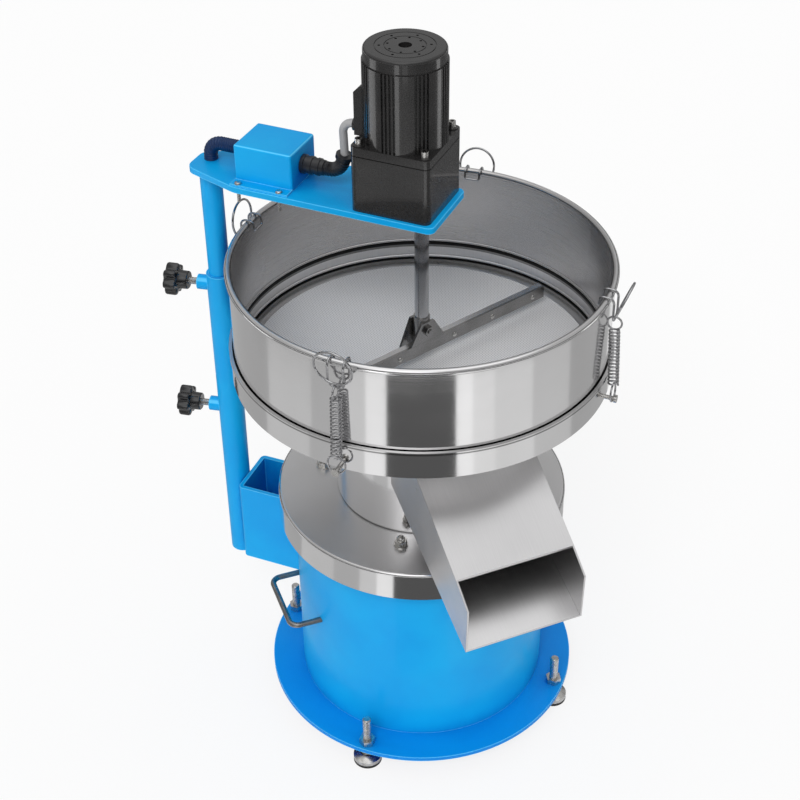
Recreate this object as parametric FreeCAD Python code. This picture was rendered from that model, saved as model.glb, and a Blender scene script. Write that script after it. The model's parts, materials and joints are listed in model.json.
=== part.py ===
import FreeCAD, Part

import math
import os

Vector = FreeCAD.Vector

# Round bench sieve with a vibrating drum base, a discharge chute, a stirrer head on a
# sliding post and four spring latches.
# Millimetres. Origin on the floor under the sieve's axis, +Z up, the chute points to -Y.

# Clearances
seat_gap = 0.1
thread_gap = 0.1
post_fit = 0.06
screw_tip_gap = 0.3
join_overlap = 1.0
blade_clearance = 11.6
shaft_clearance = 2.0

# Levelling feet
foot_circle_radius = 182.0
foot_count = 4
foot_start_azimuth = 45.0
stud_diameter = 10.0
stud_top_height = 71.0
stud_chamfer = 1.0
pad_diameter = 35.0
pad_rubber_thickness = 4.0
pad_metal_thickness = 5.0
pad_cone_height = 4.0
pad_neck_diameter = 18.0
foot_nut_width = 17.0
foot_nut_thickness = 8.0

# Base
base_plate_radius = 194.5
base_plate_bottom = 23.0
base_plate_thickness = 6.0
drum_radius = 155.0
disc_radius = 173.6
disc_top_height = 311.8
disc_skirt_height = 37.3
disc_sheet = 3.0
disc_edge_radius = 4.0
disc_nut_circle_radius = 123.0
disc_nut_count = 4
disc_nut_start_azimuth = 55.4
disc_nut_width = 13.0
disc_nut_thickness = 6.0
disc_washer_diameter = 17.0
disc_washer_thickness = 1.6
disc_nut_dome_radius = 5.2

# Neck, sloping floor and chute
sheet = 2.0
neck_radius = 102.0
neck_height = 143.2
chute_width = 140.0
chute_reach = 280.0
chute_bottom_slope = 20.6
chute_mouth_drop = 150.6
chute_mouth_top_reach = 282.0
chute_mouth_rise = 60.6
chute_lid_reach = 252.5
chute_lid_end_rise = 80.6
chute_lid_slope = 30.0
chute_root = 60.0
window_band = 6.0

# Bottom pan
pan_radius = 216.0
cone_rise = 33.4
pan_band_height = 33.6
pan_lip_radius = 217.5
pan_lip_height = 5.0
pan_ledge_width = 14.0

# Mesh frame
frame_outer_radius = 213.5
frame_inner_radius = 210.0
frame_height = 22.6
frame_flange_inner_radius = 193.0
frame_flange_thickness = 2.0
frame_bead_radius = 2.0
frame_bead_above_flange = 6.6
mesh_thickness = 0.6
mesh_seat_width = 3.0
mesh_gasket_size = 4.0
frame_gasket_thickness = 6.4
frame_gasket_width = 5.2

# Upper frame
wall_height = 100.6
rim_bead_radius = 4.0
rim_outer_radius = 216.0
frame_wall_radius = 212.5
frame_foot_radius = 1.8

# Spring latches
latch_azimuths = (49.4, 133.0, 223.6, 315.5)
ring_leans = (12.0, 4.0, 9.0, 21.0)
latch_wire = 2.6
latch_half_width = 8.75
latch_bar_reach = 9.0
latch_bar_drop = 6.0
latch_bar_lean = 2.0
latch_bar_bend = 3.0
latch_hook_bend = 4.0
latch_bottom_drop = 24.0
latch_gap = 2.9
latch_corner_radius = 7.0
ring_mean_radius = 21.0
ring_wire = 2.6
ring_weld_rise = 5.0
weld_depth = 0.5
spring_radius = 6.5
spring_wire = 1.6
spring_gap = 1.8
spring_rise = 18.0
spring_loop_radius = 6.8
anchor_rise = 3.6
anchor_diameter = 5.0
anchor_head_diameter = 9.0
anchor_head_thickness = 3.0

# Carry handles
handle_azimuths = (177.0, -3.0)
handle_height = 165.0
handle_wire = 7.0
handle_span = 90.0
handle_reach = 185.0
handle_bend = 11.0

# Arm: its length runs from the post to the stirrer shaft
arm_azimuth = -46.4
arm_above_rim = 72.0
arm_thickness = 7.0
arm_edge_radius = 0.8
arm_front = 33.0
arm_near_edge = -49.3
arm_far_edge = 45.5
arm_corner_radius = 8.0
arm_taper_start = -202.0
arm_end = -273.0
arm_end_offset = 4.0
arm_end_half_width = 19.0
arm_end_radius = 14.5
arm_shoulder_radius = 30.0

# Post and its sleeve: drawn along their own azimuth, as the head swivels on the post
post_azimuth = -45.0
post_x = -252.0
post_y = -5.0
post_diameter = 25.0
post_above_sleeve_foot = 12.0
sleeve_wall = 3.2
sleeve_below_rim = 70.0
sleeve_bottom = 128.0
clamp_drops = (16.0, 194.0)
clamp_azimuth = 145.0
boss_diameter = 18.0
boss_reach = 27.0
clamp_screw_diameter = 8.0
knob_hub_diameter = 22.0
knob_hub_start = 38.5
knob_hub_length = 11.5
knob_length = 16.0
knob_radius = 19.5
knob_lobes = 7
knob_lobe_radius = 6.0

# Bracket between the drum and the sleeve
bracket_bottom = 137.0
bracket_height = 115.0
bracket_half_width = 35.0
bracket_sheet = 5.0
bracket_bend_radius = 6.0

# Junction box on the arm
box_start = -207.0
box_end = -137.5
box_near = -34.3
box_far = 24.5
box_height = 43.0
box_edge_radius = 3.0
box_lip_width = 12.7
box_lip_thickness = 2.0
box_screw_positions = (-198.5, -148.7)
box_screw_inset = 9.0
box_screw_diameter = 4.0
box_screw_head_diameter = 8.0
box_screw_head_height = 2.4
box_screw_dome = 1.9
box_screw_length = 22.0

# Conduits and the motor's lead
conduit_diameter = 16.0
conduit_height = 21.0
post_conduit_y = 0.5
post_conduit_end = -256.0
post_conduit_bend = 15.0
motor_conduit_y = -6.0
boot_length = 27.0
boot_diameter = 20.0
boot_tip_diameter = 17.0
elbow_corner = -92.0
elbow_bend = 17.0
elbow_end = (-86.5, 42.5)
elbow_ring_diameter = 19.0
elbow_ring_length = 5.0
lead_diameter = 9.0
lead_corner_x = -81.0
lead_end_y = -10.0
lead_end_height = 83.5
lead_bend = 7.0

# Gear motor
gearbox_size = 90.0
shaft_offset = 18.0
gearbox_height = 64.0
gearbox_corner_radius = 7.0
shaft_socket_depth = 20.0
shaft_insert = 15.0
flange_gap = 1.0
flange_neck_size = 84.0
flange_height = 9.5
motor_radius = 45.0
motor_height = 87.5
fin_groups = 8
grooves_per_group = 4
groove_pitch = 5.6
groove_width = 2.4
groove_depth = 3.0
cap_radius = 43.5
cap_height = 14.0
cap_edge_radius = 3.0
cap_groove_radii = (32.0, 22.0)
cap_recess_depth = 1.0
cap_recess_width = 1.0
cap_hole_radius = 7.0
cap_hole_depth = 6.0
terminal_reach = 51.0
terminal_width = 36.0
terminal_height = 56.5
terminal_chamfer = 8.0
terminal_gland_diameter = 15.0
terminal_gland_length = 3.0
motor_screw_spacing = 74.0
motor_screw_diameter = 5.0
motor_screw_head_diameter = 8.0
motor_screw_head_height = 7.0
motor_boss_diameter = 13.0
motor_boss_height = 1.0
motor_screw_socket_width = 4.0
motor_screw_socket_depth = 3.0

# Stirrer
shaft_diameter = 16.0
blade_azimuth = 16.3
blade_reach = 180.0
blade_height = 15.0
blade_thickness = 3.0
shaft_above_blade_foot = 2.0
hub_height = 29.0
hub_cheek_drop = 4.0
hub_collar_radius = 9.5
hub_half_width_top = 9.0
hub_half_width_bottom = 24.0
hub_cheek_thickness = 3.0
hub_back_rise = 5.0
hub_bolt_drop = 15.0
hub_bolt_diameter = 6.0
hub_bolt_head_width = 11.0
hub_bolt_head_height = 4.0
hub_bolt_end = 1.5

# Worked out from the sizes above
base_plate_top = base_plate_bottom + base_plate_thickness
disc_underside = disc_top_height - disc_sheet
neck_top_height = disc_top_height + neck_height
chute_mouth_bottom = neck_top_height - chute_mouth_drop
chute_mouth_top = chute_mouth_bottom + chute_mouth_rise
chute_lid_end_height = chute_mouth_bottom + chute_lid_end_rise
pan_bottom_height = neck_top_height + cone_rise
pan_top_height = pan_bottom_height + pan_band_height
cone_start = pan_radius - pan_ledge_width
rim_centre_radius = rim_outer_radius - rim_bead_radius
ledge_top = pan_bottom_height + sheet
frame_bottom = ledge_top
frame_top = frame_bottom + frame_height
flange_top = frame_bottom + frame_flange_thickness
wall_bottom = frame_top + frame_gasket_thickness
rim_height = wall_bottom + wall_height
latch_radius = rim_outer_radius + latch_wire / 2 + latch_gap
anchor_radius = pan_lip_radius + spring_radius + spring_gap
anchor_height = pan_bottom_height + anchor_rise
pan_wall_inner = pan_radius - sheet
post_radius = post_diameter / 2
sleeve_inner_radius = post_radius + post_fit
sleeve_radius = sleeve_inner_radius + sleeve_wall
sleeve_top = rim_height - sleeve_below_rim
clamp_heights = tuple(sleeve_top - drop for drop in clamp_drops)
post_bottom = sleeve_bottom + post_above_sleeve_foot
head_swing = math.radians(post_azimuth - arm_azimuth)
arm_post_y = post_x * math.sin(head_swing) + post_y * math.cos(head_swing)
arm_top_height = rim_height + arm_above_rim
arm_bottom = arm_top_height - arm_thickness
blade_bottom = flange_top + blade_clearance
blade_top = blade_bottom + blade_height
gearbox_top = arm_top_height + gearbox_height
flange_bottom = gearbox_top + flange_gap
motor_bottom = flange_bottom + flange_height
motor_top = motor_bottom + motor_height
blade_face = shaft_diameter / 2 + seat_gap
hub_bottom = blade_top + seat_gap
hub_top_height = blade_top + hub_height
hub_bolt_height = hub_top_height - hub_bolt_drop


def cylinder(radius, bottom, top, x=0.0, y=0.0):
    return Part.makeCylinder(radius, top - bottom, Vector(x, y, bottom))


def rod(radius, start, end):
    direction = end - start
    return Part.makeCylinder(radius, direction.Length, start, direction)


def box(x_start, x_end, y_start, y_end, z_start, z_end):
    size = (x_end - x_start, y_end - y_start, z_end - z_start)
    return Part.makeBox(*size, Vector(x_start, y_start, z_start))


def turned(shape, azimuth):
    return shape.rotated(Vector(0, 0, 0), Vector(0, 0, 1), azimuth)


def revolved(points):
    """A closed radius-height outline turned about the Z axis."""
    outline = [Vector(radius, 0, height) for radius, height in points]
    face = Part.Face(Part.makePolygon(outline + outline[:1]))
    return face.revolve(Vector(0, 0, 0), Vector(0, 0, 1), 360)


def ring(mean_radius, wire_radius, height):
    return Part.makeTorus(mean_radius, wire_radius, Vector(0, 0, height))


def corner_points(before, corner, after, radius):
    """Start, middle and end of the arc that rounds one corner of a path."""
    toward = (before - corner).normalize()
    onward = (after - corner).normalize()
    half_angle = toward.getAngle(onward) / 2
    reach = radius / math.tan(half_angle)
    middle_direction = (toward + onward).normalize()
    centre_distance = radius / math.sin(half_angle)
    start = corner + toward * reach
    end = corner + onward * reach
    middle = corner + middle_direction * (centre_distance - radius)
    return start, middle, end


def rounded_path(points, radii):
    """Straight runs joined by tangent arcs; radii has one value per inner point."""
    edges = []
    current = points[0]
    for index, radius in enumerate(radii):
        corner = points[index + 1]
        start, middle, end = corner_points(points[index], corner, points[index + 2], radius)
        edges.append(Part.LineSegment(current, start).toShape())
        edges.append(Part.Arc(start, middle, end).toShape())
        current = end
    edges.append(Part.LineSegment(current, points[-1]).toShape())
    return Part.Wire(edges)


def bent_rod(points, radii, radius):
    """A round bar bent along straight runs and arcs."""
    path = rounded_path(points, radii)
    section = Part.Wire(Part.makeCircle(radius, points[0], points[1] - points[0]))
    return path.makePipeShell([section], True, False)


def rounded_prism(corners, radii, bottom, top):
    """A prism over a polygon whose corners are rounded, each by its own radius."""
    points = [Vector(x, y, bottom) for x, y in corners]
    count = len(points)
    arcs = []
    for index in range(count):
        before = points[index - 1]
        after = points[(index + 1) % count]
        arcs.append(corner_points(before, points[index], after, radii[index]))
    edges = []
    for index, (start, middle, end) in enumerate(arcs):
        following = arcs[(index + 1) % count][0]
        edges.append(Part.Arc(start, middle, end).toShape())
        edges.append(Part.LineSegment(end, following).toShape())
    return Part.Face(Part.Wire(edges)).extrude(Vector(0, 0, top - bottom))


def hexagon(width, bottom, top, x=0.0, y=0.0):
    radius = width / math.sqrt(3)
    corners = []
    for step in range(6):
        angle = math.radians(60 * step)
        corners.append(Vector(x + radius * math.cos(angle), y + radius * math.sin(angle), bottom))
    face = Part.Face(Part.makePolygon(corners + corners[:1]))
    return face.extrude(Vector(0, 0, top - bottom))


def around(shape, count, start_azimuth):
    """Copies of a shape made at azimuth 0, evenly spaced about the Z axis."""
    step = 360.0 / count
    return [turned(shape, start_azimuth + step * index) for index in range(count)]


def on_arm(shape):
    """Turns a shape drawn along the arm into its place."""
    return turned(shape, arm_azimuth)


def on_post(shape):
    """Turns a shape drawn along the post's azimuth into its place."""
    return turned(shape, post_azimuth)


def save(name, solids):
    shape = solids[0] if len(solids) == 1 else Part.makeCompound(solids)
    shape.exportStep("parts/" + name + ".step")


# Base

def foot_sites():
    step = 360.0 / foot_count
    for index in range(foot_count):
        angle = math.radians(foot_start_azimuth + step * index)
        yield foot_circle_radius * math.cos(angle), foot_circle_radius * math.sin(angle)


def base_plate():
    plate = cylinder(base_plate_radius, base_plate_bottom, base_plate_top)
    for x, y in foot_sites():
        hole = cylinder(stud_diameter / 2 + thread_gap, base_plate_bottom, base_plate_top, x, y)
        plate = plate.cut(hole)
    return plate


def levelling_foot():
    """A stud with the metal shell of its pad."""
    pad_radius = pad_diameter / 2
    shell_bottom = pad_rubber_thickness
    shell_top = shell_bottom + pad_metal_thickness
    cone_top = shell_top + pad_cone_height
    neck_radius_of_pad = pad_neck_diameter / 2
    stud_radius = stud_diameter / 2
    foot = revolved([
        (0, shell_bottom), (pad_radius, shell_bottom), (pad_radius, shell_top),
        (neck_radius_of_pad, cone_top), (stud_radius, cone_top),
        (stud_radius, stud_top_height - stud_chamfer),
        (stud_radius - stud_chamfer, stud_top_height), (0, stud_top_height)])
    return foot.translated(Vector(foot_circle_radius, 0, 0))


def foot_pad():
    return cylinder(pad_diameter / 2, 0, pad_rubber_thickness, foot_circle_radius)


def foot_nut(bottom):
    nut = hexagon(foot_nut_width, bottom, bottom + foot_nut_thickness, foot_circle_radius)
    bore = cylinder(stud_diameter / 2 + thread_gap, bottom, bottom + foot_nut_thickness,
                    foot_circle_radius)
    return nut.cut(bore)


def foot_nuts():
    upper = around(foot_nut(base_plate_top), foot_count, foot_start_azimuth)
    lower = around(foot_nut(base_plate_bottom - foot_nut_thickness), foot_count, foot_start_azimuth)
    return upper + lower


def base_drum():
    return cylinder(drum_radius, base_plate_top, disc_underside)


def cover_disc():
    """A flanged lid: flat top with a rounded edge and a skirt round the drum."""
    skirt_bottom = disc_top_height - disc_skirt_height
    outer = cylinder(disc_radius, skirt_bottom, disc_top_height)
    outer = outer.makeFillet(disc_edge_radius, [top_circle(outer, disc_top_height, disc_radius)])
    inner_radius = disc_radius - disc_sheet
    return outer.cut(cylinder(inner_radius, skirt_bottom, disc_underside))


def top_circle(shape, height, radius):
    """The round edge of a shape at a height, with a radius."""
    for edge in shape.Edges:
        curve = edge.Curve
        if not isinstance(curve, Part.Circle):
            continue
        if abs(curve.Center.z - height) < 0.01 and abs(curve.Radius - radius) < 0.01:
            return edge
    return None


def disc_nut():
    """A domed cap nut on a washer."""
    x = disc_nut_circle_radius
    washer_top = disc_top_height + disc_washer_thickness
    nut_top = washer_top + disc_nut_thickness
    washer = cylinder(disc_washer_diameter / 2, disc_top_height, washer_top, x)
    nut = hexagon(disc_nut_width, washer_top, nut_top, x)
    dome = Part.makeSphere(disc_nut_dome_radius, Vector(x, 0, nut_top), Vector(0, 0, 1), 0, 90, 360)
    return washer.fuse([nut, dome]).removeSplitter()


# Neck, sloping floor and chute

def chute_bottom_height(distance):
    """Underside of the chute's floor at a distance from the axis towards the mouth."""
    rise = math.tan(math.radians(chute_bottom_slope))
    return chute_mouth_bottom + (chute_reach - distance) * rise


def chute_lid_height(distance):
    rise = math.tan(math.radians(chute_lid_slope))
    return chute_lid_end_height + (chute_lid_reach - distance) * rise


def side_prism(points, half_width):
    """A prism over a distance-height outline, as wide as the chute or its inside."""
    outline = [Vector(-half_width, -distance, height) for distance, height in points]
    face = Part.Face(Part.makePolygon(outline + outline[:1]))
    return face.extrude(Vector(2 * half_width, 0, 0))


def chute_outside():
    return side_prism([
        (chute_root, chute_bottom_height(chute_root)), (chute_reach, chute_mouth_bottom),
        (chute_mouth_top_reach, chute_mouth_top), (chute_lid_reach, chute_lid_end_height),
        (chute_root, chute_lid_height(chute_root))], chute_width / 2)


def chute_inside():
    """The passage, open at the mouth and above it past the end of the lid."""
    past = chute_mouth_top_reach + sheet
    floor = sheet / math.cos(math.radians(chute_bottom_slope))
    lid = sheet / math.cos(math.radians(chute_lid_slope))
    return side_prism([
        (0, chute_bottom_height(0) + floor), (past, chute_bottom_height(past) + floor),
        (past, chute_lid_end_height + sheet), (chute_lid_reach, chute_lid_end_height + sheet),
        (chute_lid_reach, chute_lid_end_height - lid), (0, chute_lid_height(0) - lid)],
        chute_width / 2 - sheet)


def under_pan(gap):
    """The space below the pan's cone, widened by a gap."""
    return revolved([
        (0, disc_top_height), (pan_lip_radius * 2, disc_top_height),
        (pan_lip_radius * 2, pan_bottom_height - gap), (cone_start, pan_bottom_height - gap),
        (neck_radius, neck_top_height - gap), (0, neck_top_height - gap)])


def chute():
    duct = chute_outside().cut(chute_inside())
    neck_space = cylinder(neck_radius + seat_gap, 0, rim_height)
    below_mouth = side_prism([
        (0, 0), (chute_reach + chute_width, 0),
        (chute_reach + chute_width, rim_height), (0, rim_height)], chute_width)
    duct = duct.cut(neck_space).common(below_mouth)
    lower = under_pan(seat_gap)
    front_space = box(-chute_width, chute_width, -chute_reach - chute_width, 0,
                      0, disc_top_height)
    return duct.common(lower.fuse(front_space))


def neck():
    """A tube with a window through to the chute."""
    inner = neck_radius - sheet
    tube = cylinder(neck_radius, disc_top_height, neck_top_height)
    tube = tube.cut(cylinder(inner, disc_top_height, neck_top_height))
    window_top = neck_top_height - window_band
    limit = box(-chute_width, chute_width, -neck_radius - sheet, 0, disc_top_height, window_top)
    return tube.cut(chute_inside().common(limit))


def sloping_floor():
    """A tilted plate inside the neck that carries on the chute's floor."""
    radius = neck_radius - sheet - seat_gap
    floor = sheet / math.cos(math.radians(chute_bottom_slope))
    reach = neck_radius
    slab = side_prism([
        (-reach, chute_bottom_height(-reach)), (reach, chute_bottom_height(reach)),
        (reach, chute_bottom_height(reach) + floor), (-reach, chute_bottom_height(-reach) + floor)],
        reach)
    return slab.common(cylinder(radius, disc_top_height, neck_top_height))


# Bowl

def bottom_pan():
    """Rolled lip, band and the ledge that carries the mesh frame."""
    lip_bottom = pan_top_height - pan_lip_height
    return revolved([
        (pan_wall_inner, pan_top_height), (pan_lip_radius, pan_top_height),
        (pan_lip_radius, lip_bottom), (pan_radius, lip_bottom), (pan_radius, pan_bottom_height),
        (cone_start, pan_bottom_height), (cone_start, ledge_top), (pan_wall_inner, ledge_top)])


def pan_cone():
    """The flat cone from the ledge down to the neck."""
    throat = neck_radius - sheet
    return revolved([
        (cone_start, pan_bottom_height), (neck_radius, neck_top_height),
        (throat, neck_top_height), (cone_start, ledge_top)])


def mesh_frame():
    """Ring with an outer wall, an inward flange for the mesh and a bead round its inside."""
    mesh_radius = frame_flange_inner_radius + mesh_seat_width
    body = revolved([
        (frame_flange_inner_radius, frame_bottom), (frame_outer_radius, frame_bottom),
        (frame_outer_radius, frame_top), (frame_inner_radius, frame_top),
        (frame_inner_radius, flange_top), (mesh_radius, flange_top),
        (mesh_radius, flange_top - mesh_thickness),
        (frame_flange_inner_radius, flange_top - mesh_thickness)])
    bead = ring(frame_inner_radius, frame_bead_radius, flange_top + frame_bead_above_flange)
    keep = cylinder(frame_inner_radius + frame_bead_radius / 2, frame_bottom, frame_top)
    return body.fuse(bead.common(keep)).removeSplitter()


def screen_mesh():
    radius = frame_flange_inner_radius + mesh_seat_width - seat_gap
    return cylinder(radius, flange_top - mesh_thickness, flange_top)


def mesh_gasket():
    outer = frame_inner_radius - seat_gap
    cord = cylinder(outer, flange_top, flange_top + mesh_gasket_size)
    return cord.cut(cylinder(outer - mesh_gasket_size, flange_top, flange_top + mesh_gasket_size))


def frame_gasket():
    outer = frame_outer_radius
    band = cylinder(outer, frame_top, wall_bottom)
    return band.cut(cylinder(outer - frame_gasket_width, frame_top, wall_bottom))


def rim_bead():
    """The tube that finishes the rim."""
    return ring(rim_centre_radius, rim_bead_radius, rim_height)


def upper_frame():
    """Plain wall up to the rim's tube, with a small bead inside its foot."""
    inner = frame_wall_radius - sheet
    wall = cylinder(frame_wall_radius, wall_bottom, rim_height)
    wall = wall.cut([cylinder(inner, wall_bottom, rim_height), rim_bead()])
    foot = ring(inner, frame_foot_radius, wall_bottom + frame_foot_radius)
    foot = foot.common(cylinder(inner + sheet / 2, wall_bottom, rim_height))
    return wall.fuse(foot).removeSplitter()


# Spring latches

def latch_low():
    """Height of the lowest point of the bail's middle line."""
    return rim_height - latch_bottom_drop


def latch_half(side):
    """Half of the bail: from the bar inside the bowl, over the rim and down outside."""
    wire = latch_wire / 2
    hook_height = rim_height + rim_bead_radius + wire + seat_gap
    inside = rim_centre_radius - latch_bar_reach
    bar_height = rim_height - latch_bar_drop
    y = side * latch_half_width
    points = [
        Vector(inside, 0, bar_height), Vector(inside, y, bar_height),
        Vector(inside + latch_bar_lean, y, hook_height), Vector(latch_radius, y, hook_height),
        Vector(latch_radius, y, latch_low()), Vector(latch_radius, 0, latch_low())]
    radii = [latch_bar_bend, latch_hook_bend, latch_corner_radius, latch_corner_radius]
    return bent_rod(points, radii, wire)


def latch_hook():
    """A closed wire bail hooked over the rim."""
    return latch_half(1).fuse(latch_half(-1))


def pull_ring(lean):
    """The finger ring, leaning outwards from its weld across the bail's legs."""
    tilt = math.radians(lean)
    rise_at_legs = ring_mean_radius - math.sqrt(ring_mean_radius ** 2 - latch_half_width ** 2)
    offset = (latch_wire + ring_wire) / 2 - weld_depth - rise_at_legs * math.sin(tilt)
    bottom = Vector(latch_radius + offset, 0, latch_low() + ring_weld_rise)
    centre = bottom + Vector(math.sin(tilt), 0, math.cos(tilt)) * ring_mean_radius
    normal = Vector(math.cos(tilt), 0, -math.sin(tilt))
    return Part.makeTorus(ring_mean_radius, ring_wire / 2, centre, normal)


def latch(lean):
    return latch_hook().fuse(pull_ring(lean))


def latch_spring():
    """The coil's outer form with the loop at each end, on the line from anchor to bail."""
    anchor = Vector(anchor_radius, 0, anchor_height)
    line = Vector(latch_radius, 0, latch_low()) - anchor
    half_wire = spring_wire / 2
    loop_inner = spring_loop_radius - half_wire
    loop_centre = line.Length + latch_wire / 2 + seat_gap - loop_inner
    top = loop_centre - spring_loop_radius
    bottom = spring_rise
    lowest = -anchor_diameter / 2 - seat_gap - half_wire
    lower_radius = (bottom - lowest) / 2
    coil = cylinder(spring_radius, bottom, top)
    coil = coil.cut(cylinder(spring_radius - 2 * spring_wire, bottom + spring_wire,
                             top - spring_wire))
    upper = Part.makeTorus(spring_loop_radius, half_wire, Vector(0, 0, loop_centre),
                           Vector(0, 1, 0))
    lower = Part.makeTorus(lower_radius, half_wire, Vector(0, 0, bottom - lower_radius),
                           Vector(1, 0, 0))
    spring = coil.fuse([upper, lower])
    spring.rotate(Vector(0, 0, 0), Vector(0, 1, 0), math.degrees(math.atan2(line.x, line.z)))
    return spring.translated(anchor)


def spring_anchor():
    """A round-headed screw in the pan's band that holds the lower loop."""
    start = Vector(pan_radius, 0, anchor_height)
    head = Vector(anchor_radius + spring_wire, 0, anchor_height)
    end = head + Vector(anchor_head_thickness, 0, 0)
    shank = rod(anchor_diameter / 2, start, head)
    return shank.fuse(rod(anchor_head_diameter / 2, head, end))


# Carry handles

def carry_handle():
    half = handle_span / 2
    seat = math.sqrt(drum_radius ** 2 - half ** 2) - handle_wire
    points = [
        Vector(seat, half, handle_height), Vector(handle_reach, half, handle_height),
        Vector(handle_reach, -half, handle_height), Vector(seat, -half, handle_height)]
    bar = bent_rod(points, [handle_bend, handle_bend], handle_wire / 2)
    return bar.cut(cylinder(drum_radius + seat_gap, 0, rim_height))


# Post, sleeve and bracket

def post_place(shape):
    """Moves a shape drawn about the Z axis to the post."""
    return on_post(shape.translated(Vector(post_x, post_y, 0)))


def clamp_direction():
    angle = math.radians(clamp_azimuth - post_azimuth)
    return Vector(math.cos(angle), math.sin(angle), 0)


def along_clamp(radius, start, end, height):
    """A round bar on a clamp's axis, between two distances from the post's axis."""
    direction = clamp_direction()
    lift = Vector(0, 0, height)
    return rod(radius, lift + direction * start, lift + direction * end)


def post_sleeve():
    tube = cylinder(sleeve_radius, sleeve_bottom, sleeve_top)
    for height in clamp_heights:
        tube = tube.fuse(along_clamp(boss_diameter / 2, 0, boss_reach, height))
    tube = tube.cut(cylinder(sleeve_inner_radius, sleeve_bottom, sleeve_top))
    for height in clamp_heights:
        bore = clamp_screw_diameter / 2 + thread_gap
        tube = tube.cut(along_clamp(bore, 0, boss_reach + join_overlap, height))
    return post_place(tube)


def clamp_screw(height):
    start = post_radius + screw_tip_gap
    end = knob_hub_start + knob_hub_length
    return post_place(along_clamp(clamp_screw_diameter / 2, start, end, height))


def clamp_knob(height):
    """A star knob: lobes round a hub, with the hub's neck towards the post."""
    lobe_circle = knob_radius - knob_lobe_radius
    head = cylinder(lobe_circle, 0, knob_length)
    for index in range(knob_lobes):
        angle = 2 * math.pi * index / knob_lobes
        x = lobe_circle * math.cos(angle)
        y = lobe_circle * math.sin(angle)
        head = head.fuse(cylinder(knob_lobe_radius, 0, knob_length, x, y))
    head = head.removeSplitter()
    hub = cylinder(knob_hub_diameter / 2, -knob_hub_length, 0)
    knob = head.fuse(hub).removeSplitter()
    socket = cylinder(clamp_screw_diameter / 2, -knob_hub_length, 0)
    knob = knob.cut(socket)
    knob.rotate(Vector(0, 0, 0), Vector(0, 1, 0), 90)
    knob.rotate(Vector(0, 0, 0), Vector(0, 0, 1), clamp_azimuth - post_azimuth)
    distance = knob_hub_start + knob_hub_length
    knob.translate(clamp_direction() * distance + Vector(0, 0, height))
    return post_place(knob)


def post():
    return post_place(cylinder(post_radius, post_bottom, arm_bottom))


def post_bracket():
    """A folded channel, open above and below, welded to the drum and the sleeve."""
    face = post_x + sleeve_radius + seat_gap
    top = bracket_bottom + bracket_height
    inner_half = bracket_half_width - bracket_sheet
    inner_bend = bracket_bend_radius - bracket_sheet
    outer = rounded_prism(
        [(face, -bracket_half_width), (0, -bracket_half_width),
         (0, bracket_half_width), (face, bracket_half_width)],
        [bracket_bend_radius] * 4, bracket_bottom, top)
    inner = rounded_prism(
        [(face + bracket_sheet, -inner_half), (0, -inner_half),
         (0, inner_half), (face + bracket_sheet, inner_half)],
        [inner_bend] * 4, bracket_bottom, top)
    channel = outer.cut(inner).cut(cylinder(drum_radius + seat_gap, 0, rim_height))
    return on_post(channel)


# Arm

def arm_plate():
    """A plate that narrows to a round end over the post, with its upper edge eased."""
    end_y = arm_post_y + arm_end_offset
    corners = [
        (arm_front, arm_near_edge), (arm_front, arm_far_edge),
        (arm_taper_start, arm_far_edge), (arm_end, end_y + arm_end_half_width),
        (arm_end, end_y - arm_end_half_width), (arm_taper_start, arm_near_edge)]
    radii = [arm_corner_radius, arm_corner_radius, arm_shoulder_radius,
             arm_end_radius, arm_end_radius, arm_shoulder_radius]
    plate = rounded_prism(corners, radii, arm_bottom, arm_top_height)
    plate = plate.makeFillet(arm_edge_radius, [
        edge for edge in plate.Edges if edge.BoundBox.ZMin > arm_top_height - seat_gap])
    plate = plate.cut(cylinder(shaft_diameter / 2 + shaft_clearance, arm_bottom, arm_top_height))
    for x in box_screw_positions:
        bore = box_screw_diameter / 2 + thread_gap
        plate = plate.cut(cylinder(bore, arm_bottom, arm_top_height, x, box_screw_y()))
    return on_arm(plate)


def box_screw_y():
    return box_near - box_screw_inset


def junction_box():
    """A folded cover with a lip along its near side."""
    top = arm_top_height + box_height
    body = box(box_start, box_end, box_near, box_far, arm_top_height, top)
    edges = [edge for edge in body.Edges if edge.BoundBox.ZMax > arm_top_height + box_height / 2]
    body = body.makeFillet(box_edge_radius, edges)
    lip = box(box_start, box_end, box_near - box_lip_width, box_near + box_edge_radius * 2,
              arm_top_height, arm_top_height + box_lip_thickness)
    cover = body.fuse(lip).removeSplitter()
    for x in box_screw_positions:
        bore = box_screw_diameter / 2 + thread_gap
        cover = cover.cut(cylinder(bore, arm_top_height, arm_top_height + box_lip_thickness,
                                   x, box_screw_y()))
    return on_arm(cover)


def box_screws():
    screws = []
    seat = arm_top_height + box_lip_thickness
    for x in box_screw_positions:
        shank = cylinder(box_screw_diameter / 2, seat - box_screw_length, seat, x, box_screw_y())
        head = cylinder(box_screw_head_diameter / 2, seat, seat + box_screw_head_height,
                        x, box_screw_y())
        head = head.makeFillet(box_screw_dome, [
            edge for edge in head.Edges if edge.BoundBox.ZMin > seat + box_screw_head_height / 2])
        screws.append(on_arm(shank.fuse(head)))
    return screws


def post_conduit():
    """A short run from the box that bends down into the arm over the post."""
    height = arm_top_height + conduit_height
    y = post_conduit_y
    points = [
        Vector(box_start, y, height), Vector(post_conduit_end, y, height),
        Vector(post_conduit_end, y, arm_top_height)]
    return on_arm(bent_rod(points, [post_conduit_bend], conduit_diameter / 2))


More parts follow.
